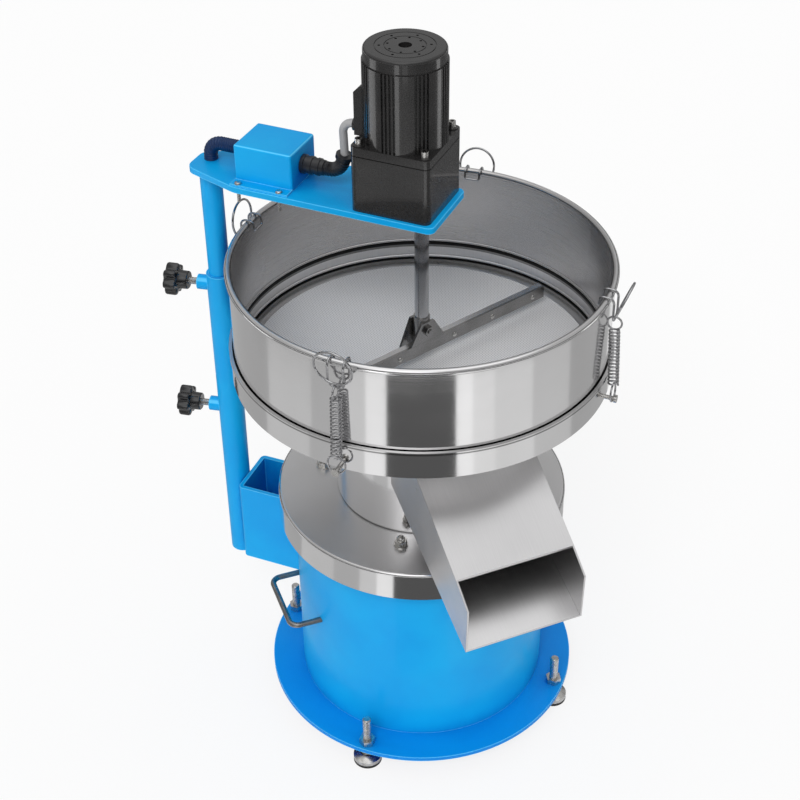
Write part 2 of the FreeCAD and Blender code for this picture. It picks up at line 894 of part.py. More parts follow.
def motor_conduit():
    """A tapered boot, an elbow of conduit and the ring at its end."""
    height = arm_top_height + conduit_height
    y = motor_conduit_y
    x, rise = elbow_end
    boot_end = box_end + boot_length
    boot = Part.makeCone(boot_diameter / 2, boot_tip_diameter / 2, boot_length,
                         Vector(box_end, y, height), Vector(1, 0, 0))
    end = Vector(x, y, arm_top_height + rise)
    corner = Vector(elbow_corner, y, height)
    points = [Vector(boot_end - join_overlap, y, height), corner, end]
    elbow = bent_rod(points, [elbow_bend], conduit_diameter / 2)
    back = (corner - end).normalize() * elbow_ring_length
    collar = rod(elbow_ring_diameter / 2, end + back, end)
    return on_arm(boot.fuse([elbow, collar]))


def motor_lead():
    """The lead from the elbow up to the gland of the terminal box."""
    x, rise = elbow_end
    y = motor_conduit_y
    end_height = arm_top_height + lead_end_height
    gland_face = -shaft_offset - terminal_reach - terminal_gland_length
    points = [
        Vector(x, y, arm_top_height + rise), Vector(lead_corner_x, lead_end_y, end_height),
        Vector(gland_face, lead_end_y, end_height)]
    return on_arm(bent_rod(points, [lead_bend], lead_diameter / 2)).cut(motor_conduit())


# Gear motor, drawn about the motor's axis

def on_motor(shape):
    return on_arm(shape.translated(Vector(-shaft_offset, 0, 0)))


def square_block(size, bottom, top, corner_radius):
    half = size / 2
    corners = [(half, -half), (half, half), (-half, half), (-half, -half)]
    return rounded_prism(corners, [corner_radius] * 4, bottom, top)


def motor_screw_sites():
    half = motor_screw_spacing / 2
    return [(x, y) for x in (-half, half) for y in (-half, half)]


def gearbox():
    body = square_block(gearbox_size, arm_top_height, gearbox_top, gearbox_corner_radius)
    bore = cylinder(shaft_diameter / 2 + seat_gap, arm_top_height, arm_top_height + shaft_socket_depth,
                    shaft_offset, 0)
    return on_motor(body.cut(bore))


def motor_flange():
    """The square end shield with its screw bosses, on a narrower step that shows as a dark joint."""
    block = square_block(gearbox_size, flange_bottom, motor_bottom, gearbox_corner_radius)
    step = square_block(flange_neck_size, gearbox_top, flange_bottom, gearbox_corner_radius)
    top = motor_bottom + motor_boss_height
    bosses = [cylinder(motor_boss_diameter / 2, flange_bottom, top, x, y)
              for x, y in motor_screw_sites()]
    flange = block.fuse([step] + bosses).removeSplitter()
    for x, y in motor_screw_sites():
        bore = motor_screw_diameter / 2 + thread_gap
        flange = flange.cut(cylinder(bore, gearbox_top, top, x, y))
    return on_motor(flange)


def motor_body():
    """A cylinder with groups of upright grooves between plain lands."""
    body = cylinder(motor_radius, motor_bottom, motor_top)
    groove = box(motor_radius - groove_depth, motor_radius + join_overlap,
                 -groove_width / 2, groove_width / 2, motor_bottom, motor_top)
    grooves = []
    for group in range(fin_groups):
        for index in range(grooves_per_group):
            offset = (index - (grooves_per_group - 1) / 2) * groove_pitch
            grooves.append(turned(groove, 360.0 * group / fin_groups + offset))
    return on_motor(body.cut(grooves))


def motor_cap():
    """The end cap: rounded edge, two round grooves and a hole in the middle."""
    top = motor_top + cap_height
    cap = cylinder(cap_radius, motor_top, top)
    cap = cap.makeFillet(cap_edge_radius, [top_circle(cap, top, cap_radius)])
    floor = top - cap_recess_depth
    grooves = [cylinder(radius, floor, top).cut(cylinder(radius - cap_recess_width, floor, top))
               for radius in cap_groove_radii]
    hole = cylinder(cap_hole_radius, top - cap_hole_depth, top)
    return on_motor(cap.cut(grooves + [hole]))


def terminal_box():
    """The cable housing on the side towards the post, with its top sloped off."""
    half = terminal_width / 2
    top = motor_bottom + terminal_height
    housing = box(-terminal_reach, 0, -half, half, motor_bottom, top)
    edges = [edge for edge in housing.Edges
             if edge.BoundBox.XMax < -motor_radius and edge.BoundBox.ZMin > top - terminal_chamfer]
    housing = housing.makeChamfer(terminal_chamfer, edges)
    height = arm_top_height + lead_end_height
    gland = rod(terminal_gland_diameter / 2,
                Vector(-terminal_reach - terminal_gland_length, lead_end_y, height),
                Vector(-terminal_reach + join_overlap, lead_end_y, height))
    housing = housing.fuse(gland).removeSplitter()
    return on_motor(housing.cut(cylinder(motor_radius + seat_gap, motor_bottom, top)))


def motor_screws():
    """Socket head screws at the corners of the end shield."""
    screws = []
    seat = motor_bottom + motor_boss_height
    top = seat + motor_screw_head_height
    for x, y in motor_screw_sites():
        shank = cylinder(motor_screw_diameter / 2, gearbox_top, seat, x, y)
        head = cylinder(motor_screw_head_diameter / 2, seat, top, x, y)
        socket = hexagon(motor_screw_socket_width, top - motor_screw_socket_depth, top, x, y)
        screws.append(on_motor(shank.fuse(head).cut(socket)))
    return screws


# Stirrer, drawn with its blade along X

def on_blade(shape):
    return turned(shape, blade_azimuth)


def stirrer_shaft():
    bottom = blade_bottom + shaft_above_blade_foot
    return cylinder(shaft_diameter / 2, bottom, arm_top_height + shaft_insert)


def stirrer_blade():
    """An upright plate that runs past the shaft on its near side."""
    return on_blade(box(-blade_reach, blade_reach, -blade_face - blade_thickness, -blade_face,
                        blade_bottom, blade_top))


def hub_cheek(front, bottom):
    """A gusset that widens from the collar downwards."""
    top = hub_top_height - hub_cheek_drop
    outline = [
        Vector(-hub_half_width_top, front, top), Vector(hub_half_width_top, front, top),
        Vector(hub_half_width_bottom, front, bottom), Vector(-hub_half_width_bottom, front, bottom)]
    face = Part.Face(Part.makePolygon(outline + outline[:1]))
    return face.extrude(Vector(0, hub_cheek_thickness, 0))


def stirrer_hub():
    """A split collar on the shaft between two gussets, the near one over the blade, with a cross bolt."""
    collar = cylinder(hub_collar_radius, hub_bottom, hub_top_height)
    cheeks = [hub_cheek(-blade_face - hub_cheek_thickness, hub_bottom),
              hub_cheek(blade_face, blade_bottom + hub_back_rise)]
    reach = blade_face + hub_cheek_thickness + hub_bolt_head_height
    tip = reach + hub_bolt_end
    bolt = rod(hub_bolt_diameter / 2, Vector(0, -tip, hub_bolt_height),
               Vector(0, tip, hub_bolt_height))
    head = hexagon(hub_bolt_head_width, 0, 2 * reach)
    head.rotate(Vector(0, 0, 0), Vector(1, 0, 0), -90)
    head.translate(Vector(0, -reach, hub_bolt_height))
    hub = collar.fuse(cheeks + [bolt, head]).removeSplitter()
    bore = cylinder(shaft_diameter / 2 + seat_gap / 2, blade_bottom, hub_top_height)
    return on_blade(hub.cut(bore))


def main():
    os.makedirs("parts", exist_ok=True)
    save("base_plate", [base_plate()])
    save("levelling_feet", around(levelling_foot(), foot_count, foot_start_azimuth))
    save("foot_pads", around(foot_pad(), foot_count, foot_start_azimuth))
    save("foot_nuts", foot_nuts())
    save("base_drum", [base_drum()])
    save("cover_disc", [cover_disc()])
    save("disc_nuts", around(disc_nut(), disc_nut_count, disc_nut_start_azimuth))
    save("neck", [neck()])
    save("sloping_floor", [sloping_floor()])
    save("chute", [chute()])
    save("bottom_pan", [bottom_pan()])
    save("pan_cone", [pan_cone()])
    save("mesh_frame", [mesh_frame()])
    save("screen_mesh", [screen_mesh()])
    save("mesh_gasket", [mesh_gasket()])
    save("frame_gasket", [frame_gasket()])
    save("upper_frame", [upper_frame()])
    save("rim_bead", [rim_bead()])
    for number, (azimuth, lean) in enumerate(zip(latch_azimuths, ring_leans), 1):
        save("latch_hook_%d" % number, [turned(latch(lean), azimuth)])
    save("latch_springs", [turned(latch_spring(), azimuth) for azimuth in latch_azimuths])
    save("spring_screws", [turned(spring_anchor(), azimuth) for azimuth in latch_azimuths])
    for name, azimuth in zip(("handle_left", "handle_right"), handle_azimuths):
        save(name, [turned(carry_handle(), azimuth)])
    save("post_bracket", [post_bracket()])
    save("post_sleeve", [post_sleeve()])
    for name, height in zip(("upper", "lower"), clamp_heights):
        save("clamp_screw_" + name, [clamp_screw(height)])
        save("clamp_knob_" + name, [clamp_knob(height)])
    save("post", [post()])
    save("arm_plate", [arm_plate()])
    save("junction_box", [junction_box()])
    save("box_screws", box_screws())
    save("post_conduit", [post_conduit()])
    save("motor_conduit", [motor_conduit()])
    save("motor_lead", [motor_lead()])
    save("gearbox", [gearbox()])
    save("motor_flange", [motor_flange()])
    save("motor_body", [motor_body()])
    save("motor_cap", [motor_cap()])
    save("terminal_box", [terminal_box()])
    save("motor_screws", motor_screws())
    save("stirrer_shaft", [stirrer_shaft()])
    save("stirrer_hub", [stirrer_hub()])
    save("stirrer_blade", [stirrer_blade()])


main()
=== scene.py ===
import json
import math
import bpy
import numpy as np
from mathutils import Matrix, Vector


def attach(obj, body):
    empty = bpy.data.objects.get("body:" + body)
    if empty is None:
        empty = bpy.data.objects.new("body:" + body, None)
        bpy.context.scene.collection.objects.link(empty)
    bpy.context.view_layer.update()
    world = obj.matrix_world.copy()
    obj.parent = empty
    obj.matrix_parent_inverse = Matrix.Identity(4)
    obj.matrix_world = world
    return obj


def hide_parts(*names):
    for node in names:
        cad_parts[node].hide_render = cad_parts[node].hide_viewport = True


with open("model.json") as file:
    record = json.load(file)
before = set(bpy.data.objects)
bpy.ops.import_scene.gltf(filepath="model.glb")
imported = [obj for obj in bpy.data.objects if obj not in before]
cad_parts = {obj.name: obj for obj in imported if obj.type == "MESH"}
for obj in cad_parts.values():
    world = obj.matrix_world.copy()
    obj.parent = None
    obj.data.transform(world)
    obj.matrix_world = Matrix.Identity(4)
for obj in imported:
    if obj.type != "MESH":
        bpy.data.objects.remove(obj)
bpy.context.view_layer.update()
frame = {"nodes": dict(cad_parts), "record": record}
nodes = frame["nodes"]
scene = bpy.context.scene
scene.view_settings.view_transform = "Standard"
print("frame loaded:", len(nodes), "nodes")

# Metres and degrees, in the frame's axes: the sieve's axis is Z, the chute points to -Y.

cameraView = {
    "place": (-0.5781, -1.3359, 1.5096),
    "heading": (0.39715, 0.91775),
    "pitchDown": 36.584,
    "lens": 69.8,
    "sensor": 36.0,
    "shiftX": -0.0271,
    "clip": (0.05, 50),
}


def makeCamera(view):
    data = bpy.data.cameras.new("camera")
    data.lens = view["lens"]
    data.sensor_width = view["sensor"]
    data.shift_x = view["shiftX"]
    data.clip_start, data.clip_end = view["clip"]
    camera = bpy.data.objects.new("camera", data)
    scene.collection.objects.link(camera)
    pitch = math.radians(view["pitchDown"])
    flat = Vector((*view["heading"], 0)).normalized() * math.cos(pitch)
    look = flat - Vector((0, 0, math.sin(pitch)))
    camera.location = view["place"]
    camera.rotation_mode = "QUATERNION"
    camera.rotation_quaternion = look.to_track_quat("-Z", "Y")
    scene.camera = camera


makeCamera(cameraView)


# Shader expressions

# dot product of the rounded and the true normal, on a flat face and on an edge
edgeMatch = (0.99, 0.86)


class Value:                       # a socket that can be added, multiplied and so on
    def __init__(self, finish, socket):
        self.finish = finish
        self.socket = socket

    def maths(self, operation, *values):
        return self.finish.node("ShaderNodeMath", {"operation": operation}, dict(enumerate(values)))

    def __add__(self, other):
        return self.maths("ADD", self, other)

    def __sub__(self, other):
        return self.maths("SUBTRACT", self, other)

    def __rsub__(self, other):
        return self.maths("SUBTRACT", other, self)

    def __mul__(self, other):
        return self.maths("MULTIPLY", self, other)

    def __pow__(self, other):
        return self.maths("POWER", self, other)

    def sine(self):
        return self.maths("SINE", self)

    def sibling(self, name):       # another output of the same node
        return Value(self.finish, self.socket.node.outputs[name])

    __radd__ = __add__
    __rmul__ = __mul__


class Finish:                      # a material or world under construction
    def __init__(self, name, world=None):
        self.material = world or bpy.data.materials.new(name)
        self.material.use_nodes = True
        self.tree = self.material.node_tree
        self.tree.nodes.clear()

    def node(self, kind, settings=None, inputs=None, output=0):
        made = self.tree.nodes.new(kind)
        for key, value in (settings or {}).items():
            if key == "stops":
                for index, (place, colour) in enumerate(value):
                    ramp = made.color_ramp.elements
                    stop = ramp[index] if index < 2 else ramp.new(place)
                    stop.position = place
                    stop.color = (*colour, 1)
            else:
                setattr(made, key, value)
        for key, value in (inputs or {}).items():
            if isinstance(value, Value):
                self.tree.links.new(value.socket, made.inputs[key])
            else:
                made.inputs[key].default_value = value
        return Value(self, made.outputs[output])

    def place(self):
        return self.node("ShaderNodeTexCoord", output="Object")

    def axes(self, vector=None):
        split = self.node("ShaderNodeSeparateXYZ", inputs={0: vector or self.place()})
        return [split.sibling(axis) for axis in "XYZ"]

    def noise(self, scale, detail, squeeze=None):
        vector = self.place()
        if squeeze:
            vector = self.node("ShaderNodeMapping", inputs={"Vector": vector, "Scale": squeeze})
        return self.node("ShaderNodeTexNoise", inputs={"Vector": vector, "Scale": scale, "Detail": detail})

    def ramp(self, value, low, high, fromZero=0.0, toOne=1.0):
        return self.node("ShaderNodeMapRange", inputs={
            "Value": value, "From Min": low, "From Max": high, "To Min": fromZero, "To Max": toOne})

    def blend(self, share, first, second):
        inputs = {0: share}        # 6 and 7 are the Mix node's colours A and B
        for slot, colour in ((6, first), (7, second)):
            inputs[slot] = colour if isinstance(colour, Value) else (*colour, 1)
        return self.node("ShaderNodeMix", {"data_type": "RGBA"}, inputs, output=2)

    def bump(self, height, distance, strength=1.0):
        return self.node("ShaderNodeBump", inputs={
            "Height": height, "Distance": distance, "Strength": strength})

    def edges(self, reach):        # 1 on a sharp edge, where the rounded normal leaves the true one
        rounded = self.node("ShaderNodeBevel", {"samples": 6}, {"Radius": reach})
        true = self.node("ShaderNodeNewGeometry", output="Normal")
        return self.ramp(self.dot(rounded, true), *edgeMatch)

    def dot(self, first, second):
        return self.node("ShaderNodeVectorMath", {"operation": "DOT_PRODUCT"}, {0: first, 1: second}, "Value")

    def lean(self):                # the normal's upward share: 1 facing up, 0 upright
        return self.axes(self.node("ShaderNodeTexCoord", output="Normal"))[2]

    def line(self, value, centre, width):   # 1 at the centre, 0 a width away
        offset = value - centre
        return self.ramp(offset.maths("ABSOLUTE", offset), width, 0.0)

    def shade(self, varying, fixed):
        self.close(self.node("ShaderNodeBsdfPrincipled", inputs={**fixed, **varying}))
        return self.material

    def close(self, shader, kind="ShaderNodeOutputMaterial"):
        output = self.tree.nodes.new(kind)
        self.tree.links.new(shader.socket, output.inputs["Surface"])


# Finishes

# levels of a noise between which it fades from none to full
softFade = (0.3, 0.7)
firmFade = (0.35, 0.65)
lateFade = (0.35, 0.7)

paint = {
    "blue": (0.003, 0.395, 0.820),
    "deep": (0.002, 0.345, 0.785),
    "cloudScale": 14.0,
    # a deeper blue painted on the base plate as shade, and the heights it fades in between
    "plate": (0.001, 0.25, 0.77),
    "plateHeights": (0.033, 0.0275),
    # painted shade in closed corners: its colour, how closed in they are and how far that looks
    "shade": (0.0, 0.05, 0.38),
    "shadeOpen": (0.50, 0.15),
    "shadeReach": 0.09,
    # painted highlight on edges: its colour, the reach of sharp ones, and the lean and strength of rounded
    # ones
    "paintedLight": (0.14, 0.66, 1.0),
    "edge": 0.0018,
    "leanFrom": (0.45, 0.62),
    "leanTo": (0.93, 0.82),
    "rounded": 0.7,
    "roughness": (0.37, 0.45),
    "roughScale": 420.0,
    "peelScale": 700.0,
    "peelDepth": 0.00003,
    "coat": {"Coat Weight": 0.10, "Coat Roughness": 0.12, "Specular IOR Level": 0.15},
}


# Gloss paint: two blues mixed by a slow noise; a deeper blue painted on the base plate as shade, and by
# ambient occlusion another painted as shade in closed corners. Fine orange peel is the bump. Edges get a
# paler blue as a painted highlight, sharp ones by edges() and rounded ones where the normal leans between 20
# and 60 degrees.
def bluePaint():
    finish = Finish("blue_paint")
    x, y, z = finish.axes()
    cloud = finish.noise(paint["cloudScale"], 3.0)
    fine = finish.noise(paint["roughScale"], 2.0)
    colour = finish.blend(finish.ramp(cloud, *firmFade), paint["blue"], paint["deep"])
    # the base plate is painted a deeper blue as shade
    colour = finish.blend(finish.ramp(z, *paint["plateHeights"]), colour, paint["plate"])
    # closed corners are painted darker as shade, by ambient occlusion
    openness = finish.node("ShaderNodeAmbientOcclusion", {"samples": 4},
                           {"Distance": paint["shadeReach"]}, "AO")
    colour = finish.blend(finish.ramp(openness, *paint["shadeOpen"]), colour, paint["shade"])
    lean = finish.lean()
    rounded = finish.ramp(lean, *paint["leanFrom"]) * finish.ramp(lean, *paint["leanTo"]) * paint["rounded"]
    # edges are painted a paler blue as a highlight
    paintedHighlight = rounded.maths("MAXIMUM", rounded, finish.edges(paint["edge"]))
    colour = finish.blend(paintedHighlight, colour, paint["paintedLight"])
    rough = finish.ramp(fine, *softFade, *paint["roughness"])
    peel = finish.bump(finish.noise(paint["peelScale"], 1.0), paint["peelDepth"])
    return finish.shade({"Base Color": colour, "Roughness": rough, "Normal": peel}, paint["coat"])


steel = {
    "polished": (0.77, 0.765, 0.77),
    "cloudy": (0.72, 0.715, 0.715),
    "smudgeScale": 9.0,
    "ringsPerMetre": 60.0,
    "ringScale": 22.0,
    "ringDepth": 0.000001,
    "ringStrength": 0.3,
    # the bowl's inside, painted darker as shade: its radius, the height it starts at, its tone and how much
    # of it
    "insideRadius": (0.2119, 0.2114),
    "insideHeight": (0.48, 0.49),
    "paintedLight": (0.50, 0.49, 0.49),
    "insideShadeShare": 0.85,
    "flatLean": (0.93, 0.98),
    # roughness, and what rings, smudges, the inside and flat faces add to it
    "roughness": 0.07,
    "ringRough": 0.04,
    "smudgeRough": 0.05,
    "insideRough": 0.15,
    "flatRough": 0.24,
    # heights and half widths of the dark lines painted as shade in the bowl's joints
    "seams": ((0.5163, 0.0007), (0.5198, 0.0016)),
    "grimeAndShade": (0.07, 0.068, 0.066),
    "seamShadeShare": 0.9,
}


# Rolled and polished sheet: thin rings that depend on height and radius alone, over slow smudges.
# Inside the bowl and on flat faces it is duller; inside the bowl it is also painted darker as shade, and the
# joints hold a dark line painted as shade.
def polishedSteel():
    finish = Finish("polished_steel")
    x, y, z = finish.axes()
    radius = (x * x + y * y) ** 0.5
    rings = finish.node("ShaderNodeCombineXYZ", inputs={
        0: radius * steel["ringsPerMetre"], 1: z * steel["ringsPerMetre"]})
    lines = finish.node("ShaderNodeTexNoise", inputs={
        "Vector": rings, "Scale": steel["ringScale"], "Detail": 1.0})
    smudge = finish.noise(steel["smudgeScale"], 3.0)
    inside = finish.ramp(radius, *steel["insideRadius"]) * finish.ramp(z, *steel["insideHeight"])
    flat = finish.ramp(finish.lean(), *steel["flatLean"])
    rough = steel["roughness"] + finish.ramp(lines, *softFade, 0.0, steel["ringRough"])
    rough = rough + finish.ramp(smudge, *lateFade, 0.0, steel["smudgeRough"])
    rough = rough + inside * steel["insideRough"] + flat * steel["flatRough"]
    tone = finish.blend(finish.ramp(smudge, *softFade), steel["polished"], steel["cloudy"])
    # the bowl's inside is painted darker as shade
    tone = finish.blend(inside * steel["insideShadeShare"], tone, steel["paintedLight"])
    # the bowl's joints get dark lines painted as shade
    for centre, width in steel["seams"]:
        tone = finish.blend(finish.line(z, centre, width) * steel["seamShadeShare"], tone, steel["grimeAndShade"])
    relief = finish.bump(lines, steel["ringDepth"], steel["ringStrength"])
    return finish.shade({"Base Color": tone, "Roughness": rough, "Normal": relief}, {"Metallic": 1.0})


neck = {
    "dark": (0.80, 0.795, 0.80),
    "pale": (0.86, 0.855, 0.86),
    "smudgeScale": 7.0,
    "roughness": (0.10, 0.16),
    # height and half width of the weld on the disc
    "weld": (0.3118, 0.0030),
}


# Neck: a paler polished sheet, clouded by a slow noise, with a dark line where it is welded to the disc.
def neckSteel():
    finish = Finish("neck_steel")
    x, y, z = finish.axes()
    smudge = finish.noise(neck["smudgeScale"], 3.0)
    tone = finish.blend(finish.ramp(smudge, *softFade), neck["dark"], neck["pale"])
    tone = finish.blend(finish.line(z, *neck["weld"]), tone, steel["grimeAndShade"])
    rough = finish.ramp(smudge, *lateFade, *neck["roughness"])
    return finish.shade({"Base Color": tone, "Roughness": rough}, {"Metallic": 1.0})


satin = {
    "dark": (0.655, 0.65, 0.655),
    "pale": (0.70, 0.695, 0.70),
    "grainScale": 2200.0,
    "grainSqueeze": (1.0, 0.012, 0.012),
    "grainDepth": 0.000001,
    "grainStrength": 0.3,
    "smudgeScale": 11.0,
    # roughness, and what the grain and the smudges add to it
    "roughness": 0.27,
    "grainRough": 0.04,
    "smudgeRough": 0.06,
    "edge": 0.0008,
    "edgeShare": 0.55,
}


# Satin sheet: fine grain along one way as noise squeezed across it, over slow smudges, with dark edges.
def satinSteel():
    finish = Finish("satin_steel")
    grain = finish.noise(satin["grainScale"], 2.0, satin["grainSqueeze"])
    smudge = finish.noise(satin["smudgeScale"], 3.0)
    rough = satin["roughness"] + finish.ramp(grain, *softFade, 0.0, satin["grainRough"])
    rough = rough + finish.ramp(smudge, *lateFade, 0.0, satin["smudgeRough"])
    tone = finish.blend(finish.ramp(grain, *softFade), satin["dark"], satin["pale"])
    tone = finish.blend(finish.edges(satin["edge"]) * satin["edgeShare"], tone, steel["grimeAndShade"])
    relief = finish.bump(grain, satin["grainDepth"], satin["grainStrength"])
    return finish.shade({"Base Color": tone, "Roughness": rough, "Normal": relief}, {"Metallic": 1.0})


bar = {"cloudScale": 30.0, "fineScale": 900.0}
# name: dark tone, pale tone, least and most roughness, depth and strength of the drawing marks
bars = {
    "spring_steel": ((0.50, 0.50, 0.51), (0.50, 0.50, 0.51), 0.08, 0.14, 0.000006, 0.3),
    "stirrer_steel": ((0.27, 0.265, 0.26), (0.34, 0.335, 0.33), 0.20, 0.25, 0.000004, 0.4),
    "strip_steel": ((0.60, 0.595, 0.60), (0.66, 0.655, 0.66), 0.22, 0.27, 0.000004, 0.4),
}


# Smooth wire, bar and strip: two tones mixed by a slow noise, and fine noise in roughness and bump.
def barSteel(name, dark, pale, smooth, rough, depth, strength):
    finish = Finish(name)
    fine = finish.noise(bar["fineScale"], 2.0)
    tone = finish.blend(finish.ramp(finish.noise(bar["cloudScale"], 3.0), *firmFade), dark, pale)
    return finish.shade({"Base Color": tone, "Roughness": finish.ramp(fine, *softFade, smooth, rough),
                         "Normal": finish.bump(fine, depth, strength)}, {"Metallic": 1.0})


# name: scale of the clouds, dark tone, pale tone, roughness where dark and where pale
platings = {
    "zinc_steel": (160.0, (0.50, 0.49, 0.47), (0.68, 0.67, 0.65), 0.34, 0.20),
    "handle_steel": (90.0, (0.26, 0.25, 0.24), (0.36, 0.35, 0.34), 0.34, 0.24),
}


# Plated metal: a cloudy noise mixes two tones, and it is rougher where it is dark.
def platedSteel(name, scale, dark, pale, roughDark, roughPale):
    finish = Finish(name)
    cloud = finish.noise(scale, 4.0)
    tone = finish.blend(finish.ramp(cloud, *firmFade), dark, pale)
    rough = finish.ramp(cloud, *softFade, roughDark, roughPale)
    return finish.shade({"Base Color": tone, "Roughness": rough}, {"Metallic": 1.0})


weave = {
    "pitch": 0.0024,
    "turn": 0.35,
    "wire": (0.95, 0.95, 0.96),
    "hole": (0.46, 0.46, 0.47),
    "levels": (0.35, 0.75),
    "depth": 0.0003,
    "strength": 0.6,
    "look": {"Metallic": 0.35, "Roughness": 0.32},
}


# Woven wire: two sets of waves at right angles; where either is high there's wire, else a hole.
def wovenMesh():
    finish = Finish("woven_mesh")
    x, y, z = finish.axes()
    turns = 2 * math.pi / weave["pitch"]
    c = math.cos(weave["turn"]) * turns
    s = math.sin(weave["turn"]) * turns
    warp = (x * c + y * s).sine() * 0.5 + 0.5
    weft = (y * c - x * s).sine() * 0.5 + 0.5
    wire = warp.maths("MAXIMUM", warp, weft)
    colour = finish.blend(finish.ramp(wire, *weave["levels"]), weave["hole"], weave["wire"])
    relief = finish.bump(wire, weave["depth"], weave["strength"])
    return finish.shade({"Base Color": colour, "Normal": relief}, weave["look"])


seal = {
    "black": (0.004, 0.004, 0.004),
    "dust": (0.13, 0.128, 0.126),
    "dustPale": (0.20, 0.198, 0.195),
    "dustScale": 120.0,
    "grainScale": 500.0,
    "grainDepth": 0.00004,
    "look": {"Roughness": 0.55, "Specular IOR Level": 0.2},
    # height where the bead's painted shadow starts and how far it fades
    "starts": {"mesh_seal": (0.4961, 0.0002), "frame_seal": (0.5158, 0.0006)},
}


# Rubber seal: black above a height, painted as the bead's shadow, and below it grey dust mixed from two tones
# by a noise.
def sealRubber(name, start, fade):
    finish = Finish(name)
    x, y, z = finish.axes()
    dust = finish.blend(finish.noise(seal["dustScale"], 3.0), seal["dust"], seal["dustPale"])
    # above the start height, just under the bead, the seal is painted black as the bead's shadow
    tone = finish.blend(finish.ramp(z, start, start + fade), dust, seal["black"])
    grain = finish.bump(finish.noise(seal["grainScale"], 2.0), seal["grainDepth"])
    return finish.shade({"Base Color": tone, "Normal": grain}, seal["look"])


moulding = {"cloudScale": 30.0, "roughSpan": (-0.04, 0.06), "coatRoughness": 0.05}
# name: dark tone, pale tone, roughness, noise scale, bump depth, coat, specular
mouldings = {
    "black_rubber": ((0.012, 0.012, 0.012), (0.022, 0.022, 0.022), 0.62, 500.0, 0.00006),
    "black_plastic": ((0.006, 0.006, 0.007), (0.010, 0.010, 0.011), 0.16, 300.0, 0.00001, 0.6),
    "navy_plastic": ((0.001, 0.018, 0.075), (0.002, 0.026, 0.10), 0.38, 600.0, 0.00003),
    "conduit_black": ((0.008, 0.008, 0.010), (0.014, 0.014, 0.017), 0.32, 600.0, 0.00003, 0.2),
    "grey_plastic": ((0.34, 0.34, 0.345), (0.40, 0.40, 0.405), 0.40, 600.0, 0.00002),
    "motor_black": ((0.014, 0.0135, 0.0135), (0.020, 0.019, 0.019), 0.26, 900.0, 0.000012, 0.5),
    # near-black discs painted as the shade in holes and sockets
    "hole_black": ((0.001, 0.001, 0.001), (0.002, 0.002, 0.002), 0.9, 500.0, 0.00001, 0.0, 0.0),
}


# Moulded stuff: a slow noise mixes a dark and a pale tone, and a fine one changes roughness and bump.
def moulded(name, dark, pale, roughness, scale, depth, coat=0.0, specular=0.5):
    finish = Finish(name)
    fine = finish.noise(scale, 3.0)
    tone = finish.blend(finish.ramp(finish.noise(moulding["cloudScale"], 2.0), *lateFade), dark, pale)
    rough = roughness + finish.ramp(fine, *softFade, *moulding["roughSpan"])
    return finish.shade({"Base Color": tone, "Roughness": rough, "Normal": finish.bump(fine, depth)},
                        {"Coat Weight": coat, "Coat Roughness": moulding["coatRoughness"],
                         "Specular IOR Level": specular})


finishes = {
    "blue_paint": bluePaint(),
    "polished_steel": polishedSteel(),
    "neck_steel": neckSteel(),
    "satin_steel": satinSteel(),
    "woven_mesh": wovenMesh(),
}
for makeFinish, table in ((barSteel, bars), (platedSteel, platings), (sealRubber, seal["starts"]),
                          (moulded, mouldings)):
    finishes.update({name: makeFinish(name, *values) for name, values in table.items()})

slotOf = {part["node"]: part["material_slot"] for part in frame["record"]["subparts"]}
# nodes with a finish of their own; the others take the one of their slot
finishOf = {"mesh_gasket": "mesh_seal", "frame_gasket": "frame_seal", "stirrer_shaft": "spring_steel",
            "stirrer_hub": "stirrer_steel", "stirrer_blade": "stirrer_steel", "neck": "neck_steel"}


def dressNodes():
    for name, piece in nodes.items():
        piece.data.materials.clear()
        piece.data.materials.append(finishes[finishOf.get(name, slotOf[name])])


dressNodes()
print("finishes:", len(finishes))


# Mesh helpers

sharpFrom = 40.0       # degrees between faces, from which an edge isn't smoothed
bendPoints = 60        # points worked out along the arc of a bend


# Grids of points, rows by columns, joined into quads, each closed either way if asked; caps fill the end
# rings, and a grid whose volume comes out negative is turned the other way round.
def gridPiece(name, parts, slot, body, finish=None):
    allPoints = []
    allFaces = []
    start = 0                      # points in the grids before this one
    for points, closeRows, closeColumns, caps in parts:
        rows, columns = points.shape[:2]
        index = np.arange(rows * columns).reshape(rows, columns)
        down = np.roll(index, -1, 0) if closeRows else index[1:]
        here = index if closeRows else index[:-1]
        if closeColumns:
            right = np.roll(here, -1, 1)
            downRight = np.roll(down, -1, 1)
        else:
            right, downRight = here[:, 1:], down[:, 1:]
            here, down = here[:, :-1], down[:, :-1]
        quads = np.stack([here, down, downRight, right], -1).reshape(-1, 4)
        pointList = points.reshape(-1, 3)
        faces = (quads + start).tolist()
        if caps:
            faces.append((index[0] + start).tolist())
            faces.append((index[-1][::-1] + start).tolist())
        if signedVolume(pointList, quads) < 0:
            faces = [face[::-1] for face in faces]
        allPoints.append(pointList)
        allFaces += faces
        start += len(pointList)
    mesh = bpy.data.meshes.new(name)
    mesh.from_pydata(np.concatenate(allPoints).tolist(), [], allFaces)
    mesh.polygons.foreach_set("use_smooth", np.ones(len(mesh.polygons), bool))
    mesh.set_sharp_from_angle(angle=math.radians(sharpFrom))
    mesh.materials.append(finishes[finish or slot])
    piece = bpy.data.objects.new(name, mesh)
    scene.collection.objects.link(piece)
    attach(piece, body)
    return piece


# Volume between a surface and its middle: a third of the sum of each quad's point times its normal.
def signedVolume(points, quads):
    corners = points[quads] - points.mean(0)
    normal = np.cross(corners[:, 2] - corners[:, 0], corners[:, 3] - corners[:, 1])
    return (corners.mean(1) * normal).sum() / 6


